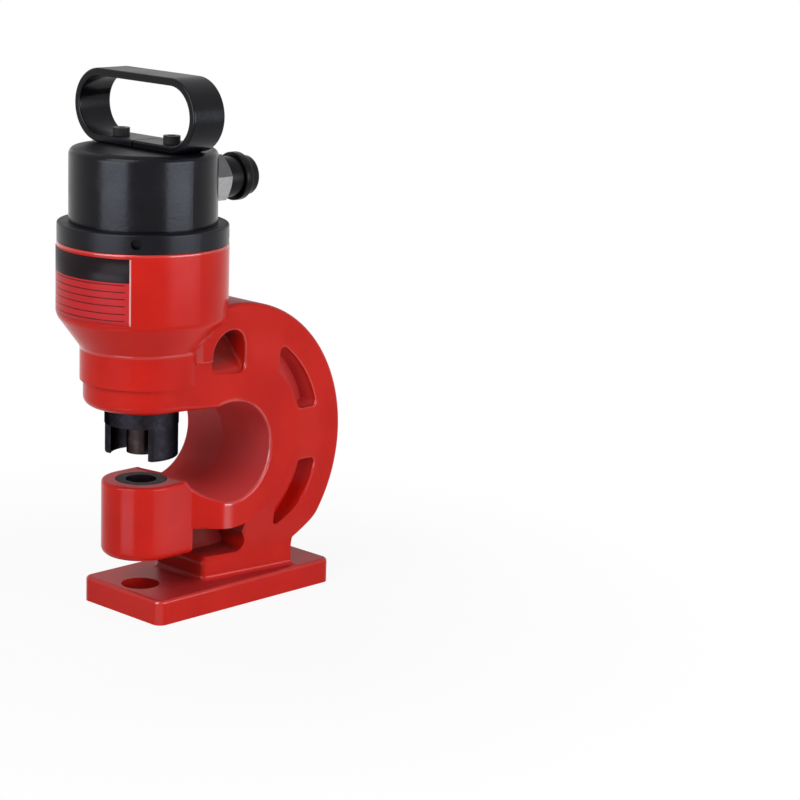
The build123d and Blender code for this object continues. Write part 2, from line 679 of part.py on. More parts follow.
def piston_seal():
    """U-cup: the open side faces the oil above it."""
    bottom = PISTON_BOTTOM + SEAL_OFFSET + BACKUP_WIDTH
    top = bottom + SEAL_WIDTH
    inner = PISTON_R - SEAL_DEPTH + FIT
    middle = (inner + PISTON_R) / 2
    return turned(
        (inner, bottom),
        (PISTON_R, bottom),
        (PISTON_R, top),
        (middle, bottom + SEAL_WIDTH / 2),
        (inner, top),
    )


def punch():
    shoulder = PUNCH_TOP - PUNCH_HEAD
    return turned(
        (0, PUNCH_TIP),
        (PUNCH_R, PUNCH_TIP),
        (PUNCH_R, shoulder),
        (PUNCH_HEAD_R, shoulder),
        (PUNCH_HEAD_R, PUNCH_TOP),
        (0, PUNCH_TOP),
    )


def punch_nut():
    """Cap nut on the rod's spigot that clamps the punch by its head."""
    lip_top = PUNCH_NUT_BOTTOM + PUNCH_NUT_LIP
    return turned(
        (PUNCH_R + FIT, PUNCH_NUT_BOTTOM),
        (PUNCH_NUT_R, PUNCH_NUT_BOTTOM),
        (PUNCH_NUT_R, SPIGOT_TOP),
        (ROD_SPIGOT_R + FIT, SPIGOT_TOP),
        (ROD_SPIGOT_R + FIT, PUNCH_TOP),
        (PUNCH_HEAD_R + FIT, PUNCH_TOP),
        (PUNCH_HEAD_R + FIT, lip_top),
        (PUNCH_R + FIT, lip_top),
    )


def coil(wire, mean_r, turns, length):
    """Round-wire helix about Z from 0 to length, between the outsides of its end turns."""
    rise = length - wire
    path = Helix(pitch=rise / turns, height=rise, radius=mean_r)
    section = Plane(path @ 0, z_dir=path % 0) * Circle(wire / 2)
    return Pos(0, 0, wire / 2) * sweep(section, path, is_frenet=True)


def return_spring():
    length = PISTON_BOTTOM - SPRING_SEAT
    return Pos(0, 0, SPRING_SEAT) * coil(SPRING_WIRE, SPRING_MEAN_R, SPRING_TURNS, length)


def bolt_places():
    return [Pos(x, HANDLE_BOLT_Y, 0) for x in (-HANDLE_BOLT_X, HANDLE_BOLT_X)]


def cylinder_barrel():
    """Cap-shaped cylinder: a skirt in the housing and a thick end wall with the oil port and bolt holes."""
    body = turned(
        (BARREL_BORE_R, BARREL_BOTTOM),
        (BARREL_SKIRT_R, BARREL_BOTTOM),
        (BARREL_SKIRT_R, BARREL_SHOULDER),
        (BARREL_R, BARREL_SHOULDER),
        (BARREL_R, BARREL_TOP, BARREL_EDGE_R),
        (0, BARREL_TOP),
        (0, BARREL_BORE_TOP),
        (BARREL_BORE_R, BARREL_BORE_TOP),
    )
    port_end = PORT_FACE_Y - PORT_DEPTH
    body = body - turned_on_coupler(
        (0, 0),
        (OIL_WAY_R, 0),
        (OIL_WAY_R, port_end),
        (PORT_R + FIT, port_end),
        (PORT_R + FIT, PORT_FACE_Y),
        (PORT_FACE_R, PORT_FACE_Y),
        (PORT_FACE_R, BARREL_R + OVERRUN),
        (0, BARREL_R + OVERRUN),
    )
    body = body - ring(0, OIL_WAY_R, BARREL_BORE_TOP - OVERRUN, COUPLER_Z)
    bolt_hole = ring(0, BOLT_R + FIT, BARREL_TOP - BOLT_DEPTH, BARREL_TOP + OVERRUN)
    for place in bolt_places():
        body = body - place * bolt_hole
    return body


def lock_ring():
    """Ring nut between the housing and the barrel's shoulder, with blind holes for a pin spanner."""
    body = turned(
        (BARREL_SKIRT_R + FIT, HOUSING_TOP),
        (LOCK_RING_R, HOUSING_TOP),
        (LOCK_RING_R, BARREL_SHOULDER, LOCK_RING_EDGE_R),
        (BARREL_SKIRT_R + FIT, BARREL_SHOULDER),
    )
    for i in range(SPANNER_HOLES):
        angle = radians((i + 0.5) * 360 / SPANNER_HOLES)
        outward = (cos(angle), sin(angle), 0)
        start = LOCK_RING_R - SPANNER_HOLE_DEPTH
        middle = (start * cos(angle), start * sin(angle), HOUSING_TOP + LOCK_RING_THICK / 2)
        hole = Plane(middle, z_dir=outward) * Circle(SPANNER_HOLE_R)
        body = body - extrude(hole, SPANNER_HOLE_DEPTH + OVERRUN)
    return body


def handle():
    """Flat bar bent to a closed loop whose two ends butt together between the bolts."""
    inner_length = HANDLE_LENGTH - 2 * HANDLE_THICK
    inner_height = HANDLE_HEIGHT - 2 * HANDLE_THICK
    loop = SlotOverall(HANDLE_LENGTH, HANDLE_HEIGHT) - SlotOverall(inner_length, inner_height)
    place = Plane((0, HANDLE_SET_BACK, BARREL_TOP + HANDLE_HEIGHT / 2), x_dir=(1, 0, 0), z_dir=(0, -1, 0))
    body = extrude(place * loop, HANDLE_WIDTH / 2, both=True)
    faces = body.faces().sort_by(Axis.Y)
    body = fillet(faces[0].edges() + faces[-1].edges(), HANDLE_EDGE_R)
    reach = HANDLE_WIDTH
    half_gap = HANDLE_BUTT_GAP / 2
    body = body - block((-half_gap, -reach, BARREL_TOP - OVERRUN), (half_gap, reach, HANDLE_FLOOR + OVERRUN))
    bolt_hole = ring(0, BOLT_R + FIT, BARREL_TOP - OVERRUN, HANDLE_FLOOR + OVERRUN)
    for place in bolt_places():
        body = body - place * bolt_hole
    return body


def handle_bolts():
    head_top = HANDLE_FLOOR + BOLT_HEAD
    bolt = turned(
        (0, BARREL_TOP - BOLT_DEPTH),
        (BOLT_R, BARREL_TOP - BOLT_DEPTH),
        (BOLT_R, HANDLE_FLOOR),
        (BOLT_HEAD_R, HANDLE_FLOOR),
        (BOLT_HEAD_R, head_top),
        (0, head_top),
    )
    socket = RegularPolygon(BOLT_HEX / 2, 6, major_radius=False)
    bolt = bolt - Pos(0, 0, head_top - BOLT_SOCKET) * extrude(socket, BOLT_SOCKET)
    return Compound(children=[place * bolt for place in bolt_places()])


def port_seal():
    inner = PORT_R + 2 * FIT
    return turned_on_coupler(
        (inner, PORT_FACE_Y), (PORT_SEAL_R, PORT_FACE_Y), (PORT_SEAL_R, HEX_START), (inner, HEX_START)
    )


def coupler_nipple():
    """Adapter with a spanner hex and the plug half of a quick coupler."""
    stub = PORT_FACE_Y - PORT_DEPTH
    groove = NIPPLE_TIP - NIPPLE_GROOVE_OFFSET
    body = turned_on_coupler(
        (OIL_BORE_R, stub),
        (PORT_R, stub),
        (PORT_R, HEX_START),
        (NIPPLE_R, HEX_START),
        (NIPPLE_R, groove - NIPPLE_GROOVE_WIDTH),
        (NIPPLE_GROOVE_R, groove - NIPPLE_GROOVE_WIDTH),
        (NIPPLE_GROOVE_R, groove),
        (NIPPLE_R, groove),
        (NIPPLE_R, NIPPLE_TIP - NIPPLE_EDGE),
        (NIPPLE_R - NIPPLE_EDGE, NIPPLE_TIP),
        (NIPPLE_BORE_R, NIPPLE_TIP),
        (NIPPLE_BORE_R, HEX_START),
        (OIL_BORE_R, HEX_START),
    )
    face = Plane((0, HEX_START, COUPLER_Z), x_dir=(1, 0, 0), z_dir=(0, 1, 0))
    six_flats = RegularPolygon(COUPLER_HEX / 2, 6, major_radius=False, rotation=COUPLER_HEX_TURN)
    hexagon = extrude(face * six_flats, COUPLER_HEX_LENGTH)
    corner_r = COUPLER_HEX / 2 / cos(pi / 6)
    crown = corner_r - COUPLER_HEX / 2
    rim = turned_on_coupler(
        (0, HEX_START),
        (corner_r, HEX_START),
        (corner_r, HEX_END - crown * HEX_CHAMFER_SLOPE),
        (corner_r - crown, HEX_END),
        (0, HEX_END),
    )
    bore = turned_on_coupler((0, 0), (NIPPLE_BORE_R, 0), (NIPPLE_BORE_R, CAP_TIP), (0, CAP_TIP))
    return body + ((hexagon & rim) - bore)


def valve_seat():
    """Ring screwed into the nipple's tip, on which the poppet closes."""
    outer = NIPPLE_BORE_R - FIT
    return turned_on_coupler(
        (VALVE_MOUTH_R, VALVE_SEAT_Y), (outer, VALVE_SEAT_Y), (outer, NIPPLE_TIP), (VALVE_MOUTH_R, NIPPLE_TIP)
    )


def coupler_poppet():
    return turned_on_coupler(
        (0, POPPET_BACK - POPPET_TAIL),
        (POPPET_TAIL_R, POPPET_BACK - POPPET_TAIL),
        (POPPET_TAIL_R, POPPET_BACK),
        (POPPET_HEAD_R, POPPET_BACK),
        (POPPET_HEAD_R, POPPET_FACE),
        (POPPET_STEM_R, POPPET_FACE),
        (POPPET_STEM_R, NIPPLE_TIP),
        (0, NIPPLE_TIP),
    )


def valve_spring():
    place = Plane((0, HEX_START, COUPLER_Z), x_dir=(1, 0, 0), z_dir=(0, 1, 0))
    return place * coil(VALVE_WIRE, VALVE_SPRING_R, VALVE_SPRING_TURNS, POPPET_BACK - HEX_START)


def dust_cap():
    """Moulded cap over the nipple, with a pull rim at its crowned end."""
    rim_end = CAP_TIP - CAP_CROWN
    rim_start = rim_end - CAP_RIM_LENGTH
    inner = NIPPLE_R + CAP_GAP
    return turned_on_coupler(
        (inner, CAP_START),
        (CAP_BODY_R, CAP_START),
        (CAP_BODY_R, rim_start),
        (CAP_RIM_R, rim_start, CAP_RIM_EDGE_R),
        (CAP_RIM_R, rim_end, CAP_RIM_EDGE_R),
        (CAP_CROWN_R, CAP_TIP),
        (0, CAP_TIP),
        (0, CAP_TIP - CAP_END_WALL),
        (inner, CAP_TIP - CAP_END_WALL),
    )


PIECES = [
    c_frame, die, die_grub_screw, stripper, rod_wiper, guide_bush, return_spring,
    ram, piston_wear_ring, piston_backup_ring, piston_seal, punch, punch_nut,
    cylinder_barrel, lock_ring, handle, handle_bolts,
    port_seal, coupler_nipple, valve_seat, valve_spring, coupler_poppet, dust_cap,
]

os.makedirs("parts", exist_ok=True)
for piece in PIECES:
    export_step(piece(), f"parts/{piece.__name__}.step")
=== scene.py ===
# %% [markdown]
# # Dressing a hydraulic punching head
# The solids of this tool come from CAD as a fixed frame: a red casting with a throat, a black cylinder with a
# handle, a ram with its punch, and a capped coupler. Most of their shapes are right already. This lesson gives
# every solid a painted, machined or moulded finish, makes four pieces anew, adds the printed plate, and
# photographs the tool in a small studio.

# %% Load the solids
import math

import bmesh
import bpy
from mathutils import Matrix, Vector


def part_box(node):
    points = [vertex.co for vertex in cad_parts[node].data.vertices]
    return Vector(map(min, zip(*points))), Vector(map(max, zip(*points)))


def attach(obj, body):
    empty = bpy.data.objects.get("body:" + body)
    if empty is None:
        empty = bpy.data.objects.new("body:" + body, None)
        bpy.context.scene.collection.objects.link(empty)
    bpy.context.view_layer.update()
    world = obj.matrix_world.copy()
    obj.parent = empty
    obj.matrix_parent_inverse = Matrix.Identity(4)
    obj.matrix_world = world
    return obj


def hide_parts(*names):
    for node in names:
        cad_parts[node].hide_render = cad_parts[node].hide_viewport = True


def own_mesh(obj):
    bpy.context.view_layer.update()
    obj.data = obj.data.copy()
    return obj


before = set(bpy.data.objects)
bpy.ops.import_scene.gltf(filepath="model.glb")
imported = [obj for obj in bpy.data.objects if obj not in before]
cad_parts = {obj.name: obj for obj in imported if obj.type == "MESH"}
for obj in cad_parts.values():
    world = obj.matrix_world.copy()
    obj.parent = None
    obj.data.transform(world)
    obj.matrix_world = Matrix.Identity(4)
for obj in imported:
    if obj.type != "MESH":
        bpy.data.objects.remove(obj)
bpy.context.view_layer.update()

# %% [markdown]
# ## Shader maths that reads like maths
# A finish needs many small sums, such as a mask that fades from one place to another. Adding a Math node by hand
# for each would hide the idea. So one class wraps the output socket of a node: plus, minus, times and power on it
# add the Math node and wrap its output again. Every other kind of node comes from its one method, node.

# %% The wire class
class Wire:
    """An output socket in a node tree. Arithmetic on it adds Math nodes to the same tree."""

    def __init__(self, tree, socket):
        self.tree = tree
        self.socket = socket

    def node(self, kind, settings, links, out=0):
        """Adds any node: its settings first, then a value or another wire for each socket named in links."""
        made = self.tree.nodes.new(kind)
        for name, value in settings.items():
            setattr(made, name, value)
        for name, value in links.items():
            if isinstance(value, Wire):
                self.tree.links.new(value.socket, made.inputs[name])
            else:
                made.inputs[name].default_value = value
        return Wire(self.tree, made.outputs[out] if made.outputs else None)

    def maths(self, operation, first, second=0.0):
        return self.node("ShaderNodeMath", {"operation": operation}, {0: first, 1: second})

    def __add__(self, other):
        return self.maths("ADD", self, other)

    __radd__ = __add__

    def __mul__(self, other):
        return self.maths("MULTIPLY", self, other)

    __rmul__ = __mul__

    def __sub__(self, other):
        return self.maths("SUBTRACT", self, other)

    def __rsub__(self, other):
        return self.maths("SUBTRACT", other, self)

    def __pow__(self, other):
        return self.maths("POWER", self, other)


print("wire class ready")

# %% [markdown]
# ## Starting and ending a finish
# Each finish starts from Object coordinates. The solids sit at the origin with their place in the mesh, so these
# are metres on the real tool, and a pattern given as 2 mm is 2 mm everywhere. Noise is the raw material of most
# finishes, so it gets a short helper: the size of its blotches goes in, a value near 0.5 comes out.

# %% Helpers for finishes
PATCHY = (0.3, 0.7)  # the part of a noise that goes from one colour to the other


def start_finish(name):
    """A new material, and the wire of its Object coordinates."""
    material = bpy.data.materials.new(name)
    material.use_nodes = True
    tree = material.node_tree
    tree.nodes.clear()
    where = Wire(tree, tree.nodes.new("ShaderNodeTexCoord").outputs["Object"])
    return material, where


def blotches(where, size, detail=2.0, roughness=0.5):
    """Noise whose blotches are about size metres across."""
    links = {"Vector": where, "Scale": 1.0 / size, "Detail": detail, "Roughness": roughness}
    return where.node("ShaderNodeTexNoise", {"noise_dimensions": "3D"}, links)


def between(mask, low, high):
    """A colour that goes from low to high as the mask goes from 0 to 1."""
    return mask.node("ShaderNodeMix", {"data_type": "RGBA"}, {0: mask, 6: (*low, 1.0), 7: (*high, 1.0)}, out=2)


def steps(mask, low, high):
    """The mask spread so that low becomes 0 and high becomes 1."""
    links = {"Value": mask, "From Min": low, "From Max": high}
    return mask.node("ShaderNodeMapRange", {"interpolation_type": "SMOOTHSTEP"}, links)


def bumps(height, depth, strength):
    """A normal tilted by height, where 1 stands depth metres proud of 0."""
    return height.node("ShaderNodeBump", {}, {"Height": height, "Distance": depth, "Strength": strength})


def end_finish(shader):
    shader.node("ShaderNodeOutputMaterial", {}, {"Surface": shader})


def paint(finish, *nodes):
    """Puts a finish on CAD nodes, in place of the plain one that each came with."""
    for name in nodes:
        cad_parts[name].data.materials.clear()
        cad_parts[name].data.materials.append(finish)
    print(finish.name, "on", ", ".join(nodes))


print("helpers for finishes ready")

# %% [markdown]
# ## Places on the casting
# Paint, and the shade and reflection painted into it, are not the same all over a casting, so a finish has to
# know where it is. A place is found by its coordinates, by its distance from a line, or by the way its faces look.
# Three numbers are a band: from, to, and how soft its borders are. Two numbers are a fade: its start and its end.
# A share says how strongly a place counts. All lengths are in metres, and side is the distance from the middle
# plane.

# %% Where the places are
THROAT = {"axis": (0.0428, 0.1074), "wall": (0.0335, 0.0345), "lip": (0.0320, 0.0362, 0.0003)}
RING = {"axis": (0.0448, 0.1102), "start": (0.0550, 0.0570), "side": (0.0385, 0.0405)}
RING_POCKETS = {"radius": (0.0600, 0.0755, 0.0005), "z": (0.0700, 0.0800)}
RING_RIMS = {"radius": (0.0585, 0.0775, 0.0005), "z": (0.0830, 0.0860)}
ARCH = {"side": (0.0330, 0.0410), "y": (0.0262, 0.0505, 0.0015), "z": (0.1580, 0.1875, 0.0015)}
ARCH_RIM = {"side": (0.0385, 0.0392), "y": (0.0100, 0.0560, 0.0010), "z": (0.1630, 0.1920, 0.0010)}
ARM_POCKET = {"side": (0.0290, 0.0385), "y": (0.0262, 0.0625, 0.0020), "z": (0.0345, 0.0575, 0.0010)}
BOSS_POCKET = {"start": (0.0150, 0.0300), "end": (0.0340, 0.0360), "z": (0.0175, 0.0345, 0.0010), "share": 0.5}
SLUG_HOLE = {"radius": (0.0129, 0.0132), "top": (0.0180, 0.0220), "share": 0.4}
ARM_FLARE = {"y": (0.0300, 0.0460, 0.0010), "z": (0.0500, 0.0750, 0.0010), "share": 0.5}
FOOT_EDGE = {"z": (0.0146, 0.0166, 0.0003), "share": 0.4}
FOOT_CORNERS = {"side": (0.0335, 0.0355), "y": (-0.0145, -0.0125), "z": (0.0150, 0.0160), "share": 0.6}
NOSE_GROOVE = {"radius": (0.0415, 0.0425), "z": (0.1766, 0.1786, 0.0004), "share": 0.8}
NOSE_WALL = (0.0408, 0.0416)
SIDE_ROUNDS = (0.0404, 0.0418, 0.0003)
HOUSING_MOUTH = (0.2440, 0.2448)
TURNS_AWAY = (0.30, 0.94, 0.03)
LOOKS_UP = (0.60, 0.95)
print("throat axis and ring axis (y, z):", THROAT["axis"], RING["axis"])

# %% Helpers for places
def part_of(where, axis):
    return where.node("ShaderNodeSeparateXYZ", {}, {0: where}, out=axis)


def size_of(value):
    return value.maths("ABSOLUTE", value)


def facing(where, axis):
    """How much a face looks along an axis: 1 along it, -1 against it."""
    return part_of(where.node("ShaderNodeNewGeometry", {}, {}, out="Normal"), axis)


def fade_out(value, low, high):
    """1 up to low, 0 from high on."""
    return 1.0 - steps(value, low, high)


def window(value, low, high, soft):
    """1 where the value is between low and high, with soft borders."""
    return steps(value, low - soft, low + soft) * fade_out(value, high - soft, high + soft)


def from_punch_line(where):
    """Distance from the line that the punch moves along, which is the Z axis."""
    x = part_of(where, "X")
    y = part_of(where, "Y")
    return (x * x + y * y) ** 0.5


def from_line(where, line):
    """Distance from a line that runs across the casting, along X, through a y and a z."""
    y_off = part_of(where, "Y") - line[0]
    z_off = part_of(where, "Z") - line[1]
    return (y_off * y_off + z_off * z_off) ** 0.5


print("helpers for places ready")

# %% [markdown]
# ## Gloss red on a casting
# The frame is cast iron under a thick coat of gloss enamel. Three things tell the eye so: the coat has a fine
# orange peel, the casting under it is never quite flat, and the sheen is a little uneven from handling. Two noises
# of different size give the bump, and a third moves the colour and the roughness a few percent. Shade is painted
# into the colour: a dark red deep in the arch beside the neck, the pocket under the arm, under the boss and in the
# slug hole, and a darker red on the tops, where dust also makes the enamel rougher. A paler, greyer red in the
# throat and the curved pockets is a painted reflection.
# On the rounded rims the enamel pools and shines like a second coat.

# %% Zones of the casting
def painted_pocket_shade(where):
    """Painted shade: 1 deep inside the arch and the arm's pocket, less in the slug hole and under the boss, 0 on
    open faces.
    """
    side = size_of(part_of(where, "X"))
    y = part_of(where, "Y")
    z = part_of(where, "Z")
    arch = fade_out(side, *ARCH["side"]) * window(y, *ARCH["y"]) * window(z, *ARCH["z"])
    under_arm = window(y, *ARM_POCKET["y"]) * window(z, *ARM_POCKET["z"])
    along_boss = steps(y, *BOSS_POCKET["start"]) * fade_out(y, *BOSS_POCKET["end"])
    under_boss = BOSS_POCKET["share"] * along_boss * window(z, *BOSS_POCKET["z"])
    in_hole = fade_out(from_punch_line(where), *SLUG_HOLE["radius"]) * fade_out(z, *SLUG_HOLE["top"])
    return arch + fade_out(side, *ARM_POCKET["side"]) * (under_arm + under_boss) + SLUG_HOLE["share"] * in_hole


def in_throat(where):
    """1 on the wall of the throat."""
    return fade_out(from_line(where, THROAT["axis"]), *THROAT["wall"])


def painted_reflection_zone(where):
    """1 where a paler red is painted as a reflection: in the throat and inside the ring's two curved pockets."""
    side = size_of(part_of(where, "X"))
    band = window(from_line(where, RING["axis"]), *RING_POCKETS["radius"])
    pockets = band * steps(part_of(where, "Y"), *RING["start"]) * fade_out(side, *RING["side"])
    return side.maths("MAXIMUM", in_throat(where), pockets * steps(part_of(where, "Z"), *RING_POCKETS["z"]))


def shiny_rims(where):
    """1 on the rounds of the throat, the arch, the pockets and the mouth, less on the foot and the groove."""
    side = size_of(part_of(where, "X"))
    y = part_of(where, "Y")
    z = part_of(where, "Z")
    radius = from_punch_line(where)
    lip = window(from_line(where, THROAT["axis"]), *THROAT["lip"])
    band = window(from_line(where, RING["axis"]), *RING_RIMS["radius"])
    pockets = band * steps(y, *RING["start"]) * steps(z, *RING_RIMS["z"])
    flare = ARM_FLARE["share"] * window(y, *ARM_FLARE["y"]) * window(z, *ARM_FLARE["z"])
    rounds = window(side, *SIDE_ROUNDS) * (lip + pockets + flare)
    outside = steps(side, *ARCH_RIM["side"]) * steps(radius, *NOSE_WALL)
    turning = window(size_of(facing(where, "X")), *TURNS_AWAY)
    arch = turning * outside * window(y, *ARCH_RIM["y"]) * window(z, *ARCH_RIM["z"])
    foot = FOOT_EDGE["share"] * window(z, *FOOT_EDGE["z"])
    at_corner = steps(side, *FOOT_CORNERS["side"]) * fade_out(y, *FOOT_CORNERS["y"])
    corners = FOOT_CORNERS["share"] * at_corner * fade_out(z, *FOOT_CORNERS["z"])
    groove = NOSE_GROOVE["share"] * window(z, *NOSE_GROOVE["z"]) * fade_out(radius, *NOSE_GROOVE["radius"])
    mouth = steps(z, *HOUSING_MOUTH)
    return rounds.maths("MINIMUM", rounds + arch + foot + corners + groove + mouth, 1.0)


def dust_and_shade_on_tops(where):
    """1 on faces that look up: dust settles there, and the red enamel paints them darker as shade."""
    return steps(facing(where, "Z"), *LOOKS_UP)


print("zones: deep pockets, throat, mist, rims, dusty tops")

# %% Red enamel
# Of these reds, the second and the last are painted shade, on the tops and in the pockets, and the third is a
# painted reflection in the throat and the curved pockets.
REDS = {
    "fresh": ((0.53, 0.0105, 0.0056), (0.60, 0.0145, 0.0076)),
    "top_shade": ((0.33, 0.016, 0.017), (0.40, 0.020, 0.021)),
    "reflected": ((0.52, 0.038, 0.038), (0.59, 0.046, 0.045)),
    "pocket_shade": ((0.16, 0.012, 0.010), (0.21, 0.016, 0.013)),
}


def red_enamel():
    material, where = start_finish("red_enamel")
    peel = blotches(where, 0.0022, detail=1.0)
    sand = blotches(where, 0.016, detail=3.0)
    tone = blotches(where, 0.045, detail=3.0)
    reds = {name: between(steps(tone, *PATCHY), low, high) for name, (low, high) in REDS.items()}
    colour = reds["fresh"]
    # Painted shade on the tops and in the pockets, and a painted reflection in the throat and the curved pockets,
    # are mixed into the colour.
    for mask, name in ((dust_and_shade_on_tops(where), "top_shade"), (painted_reflection_zone(where), "reflected"), (painted_pocket_shade(where), "pocket_shade")):
        colour = where.node("ShaderNodeMix", {"data_type": "RGBA"}, {0: mask, 6: colour, 7: reds[name]}, out=2)
    shader = where.node("ShaderNodeBsdfPrincipled", {}, {
        "Base Color": colour,
        "Roughness": 0.15 + 0.10 * tone + 0.25 * dust_and_shade_on_tops(where) + 0.35 * in_throat(where),
        "Specular IOR Level": 0.12,
        "Coat Weight": shiny_rims(where),
        "Coat Roughness": 0.14,
        "Normal": bumps(peel * 0.25 + sand, 0.0003, 0.35),
    })
    end_finish(shader)
    return material


paint(red_enamel(), "c_frame")

# %% [markdown]
# ## Gloss black on turned parts
# The cylinder, its lock ring and the handle are dipped in black enamel. Black shows nothing but its reflections,
# so the work is in the roughness and in a very fine peel. The ring is turned, and faint lathe lines run round it:
# they come from noise read along the height and the radius alone, which makes rings about the tool's axis.

# %% Black enamels
def axis_rings(where, size):
    """Noise in rings about the punch axis, each about size metres wide."""
    along = where.node("ShaderNodeCombineXYZ", {}, {0: from_punch_line(where), 2: part_of(where, "Z")})
    return blotches(along, size, detail=2.0)


def black_enamel(name, roughness, peel_size, ringed):
    material, where = start_finish(name)
    peel = blotches(where, peel_size, detail=1.0)
    dust = blotches(where, 0.03, detail=4.0, roughness=0.6)
    height = peel * 0.5 + axis_rings(where, 0.0009) if ringed else peel
    shader = where.node("ShaderNodeBsdfPrincipled", {}, {
        "Base Color": between(steps(dust, 0.35, 0.75), (0.0026, 0.0024, 0.0046), (0.0040, 0.0037, 0.0066)),
        "Roughness": roughness + 0.12 * steps(dust, 0.4, 0.8) + 0.2 * dust_and_shade_on_tops(where),
        "Specular IOR Level": 0.15,
        "Normal": bumps(height, 0.00012, 0.3),
    })
    end_finish(shader)
    return material


paint(black_enamel("barrel_black", 0.20, 0.0025, False), "cylinder_barrel")
paint(black_enamel("lock_ring_black", 0.26, 0.0018, True), "lock_ring")
paint(black_enamel("handle_black", 0.16, 0.002, False), "handle")

# %% [markdown]
# ## Blackened and ground tool steel
# The die, the stripper, the nut and the screws are hardened and blackened: a thin dark oxide over steel that still
# shows the turning marks. The punch is ground and browner, the rod and the springs are bright. The base colour of
# a metal is the colour of its reflection, and a thick oxide takes part of the shine away, so each finish says how
# much of a metal it still is. The rings set the bump, and worn patches are a little brighter and smoother.

# %% Tool steels
def tool_steel(name, dark, worn, roughness, ring_size, metal=1.0):
    material, where = start_finish(name)
    rings = axis_rings(where, ring_size)
    wear = steps(blotches(where, 0.006, detail=5.0, roughness=0.65), 0.42, 0.75)
    shader = where.node("ShaderNodeBsdfPrincipled", {}, {
        "Base Color": between(wear, dark, worn),
        "Metallic": metal,
        "Specular IOR Level": 0.10,
        "Specular Tint": (0.2, 0.2, 0.2, 1.0),
        "Roughness": roughness - 0.08 * wear + 0.06 * rings,
        "Normal": bumps(rings, 0.00006, 0.4),
    })
    end_finish(shader)
    return material


paint(tool_steel("blackened_steel", (0.014, 0.0125, 0.0155), (0.028, 0.025, 0.030), 0.36, 0.0005),
      "stripper", "punch_nut", "die_grub_screw")
paint(tool_steel("die_steel", (0.016, 0.011, 0.016), (0.030, 0.022, 0.030), 0.34, 0.0005, metal=0.6), "die")
paint(tool_steel("bolt_steel", (0.034, 0.030, 0.030), (0.058, 0.053, 0.052), 0.40, 0.0006, metal=0.0),
      "handle_bolts")
paint(tool_steel("punch_steel", (0.026, 0.018, 0.018), (0.048, 0.035, 0.034), 0.30, 0.0004), "punch")
paint(tool_steel("ground_rod", (0.42, 0.42, 0.43), (0.55, 0.55, 0.56), 0.18, 0.0003), "ram")
spring_wire = tool_steel("spring_wire", (0.10, 0.10, 0.11), (0.20, 0.20, 0.21), 0.35, 0.0008)
print("spring wire waits for its coils")

# %% [markdown]
# ## Bright plating and bronze
# The coupler's hexagon is zinc plated: bright, slightly cloudy, with fine lines left by the bar it was milled
# from. Its upper faces are painted darker and a little rougher, a painted shade. The bush and the valve's poppet
# are bronze. Both finishes are the same recipe with other numbers.

# %% Plated and bronze parts
def plated(name, base, clouded_and_shaded, roughness):
    material, where = start_finish(name)
    stretched = where.node("ShaderNodeMapping", {}, {"Vector": where, "Scale": (1.0, 0.08, 1.0)})
    lines = blotches(stretched, 0.0007, detail=2.0)
    # Painted shade: faces that look up get the darker colour.
    shaded_upper = steps(facing(where, "Z"), 0.2, 0.6)
    cloud_and_shade = steps(0.6 * blotches(where, 0.004, detail=4.0) + 0.5 * shaded_upper, 0.2, 0.8)
    shader = where.node("ShaderNodeBsdfPrincipled", {}, {
        "Base Color": between(cloud_and_shade, base, clouded_and_shaded),
        "Metallic": 1.0,
        "Roughness": roughness + 0.12 * cloud_and_shade,
        "Normal": bumps(lines, 0.00004, 0.4),
    })
    end_finish(shader)
    return material


zinc_plate = plated("zinc_plate", (0.38, 0.38, 0.385), (0.11, 0.11, 0.115), 0.22)
paint(zinc_plate, "valve_seat", "port_seal")
paint(plated("turned_bronze", (0.55, 0.36, 0.15), (0.42, 0.26, 0.10), 0.25), "guide_bush", "coupler_poppet")

# %% [markdown]
# ## The coupler's hexagon
# A pipe thread stops at any angle, so the hexagon of a real coupler never lines up with the tool. On this one a
# corner points sideways and a little upwards. The CAD solid is the right shape at another angle, so a copy of its
# mesh is merged and turned about the coupler's own axis, and stands for the solid. The turned copy needs its edges
# marked again: an edge stays sharp where its two faces meet at more than a small angle.

# %% Pieces that stand for solids
MERGE = 1e-6
SHARP = math.radians(25.0)


def mark_edges(shape):
    """Smooth faces, with an edge left sharp where its two faces meet at more than a small angle."""
    for face in shape.faces:
        face.smooth = True
    for edge in shape.edges:
        edge.smooth = edge.calc_face_angle(0.0) < SHARP


def stand_in(shape, name, finish, node, body="frame"):
    """Makes the bmesh a piece on a body, shown in place of a CAD node."""
    print(name, "open edges:", sum(not edge.is_manifold for edge in shape.edges))
    mark_edges(shape)
    mesh = bpy.data.meshes.new(name)
    shape.to_mesh(mesh)
    shape.free()
    mesh.materials.append(finish)
    piece = bpy.data.objects.new(name, mesh)
    bpy.context.scene.collection.objects.link(piece)
    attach(piece, body)
    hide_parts(node)
    print(name, "faces:", len(mesh.polygons))
    return piece


print("edges sharp from (degrees):", round(math.degrees(SHARP)))

# %% Turn a copy of the coupler
HEXAGON_TURN = Matrix.Rotation(math.radians(-18.0), 3, "Y")

lowest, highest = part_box("coupler_nipple")
turned = bmesh.new()
turned.from_mesh(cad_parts["coupler_nipple"].data)
bmesh.ops.remove_doubles(turned, verts=turned.verts[:], dist=MERGE)
bmesh.ops.rotate(turned, verts=turned.verts[:], cent=(lowest + highest) / 2, matrix=HEXAGON_TURN)
stand_in(turned, "turned_coupler", zinc_plate, "coupler_nipple")

# %% [markdown]
# ## Springs wound anew
# The big coil lifts the ram, and the small one shuts the valve. A solid can only move, so at the end of a stroke a
# rigid coil would stick into the piston. Each coil is wound anew here, with a mesh of its own. A curve with a
# bevel could be the wire, but spin winds it in one go: it turns a circle about the axis, and a small rise at every
# step makes the turn a helix.

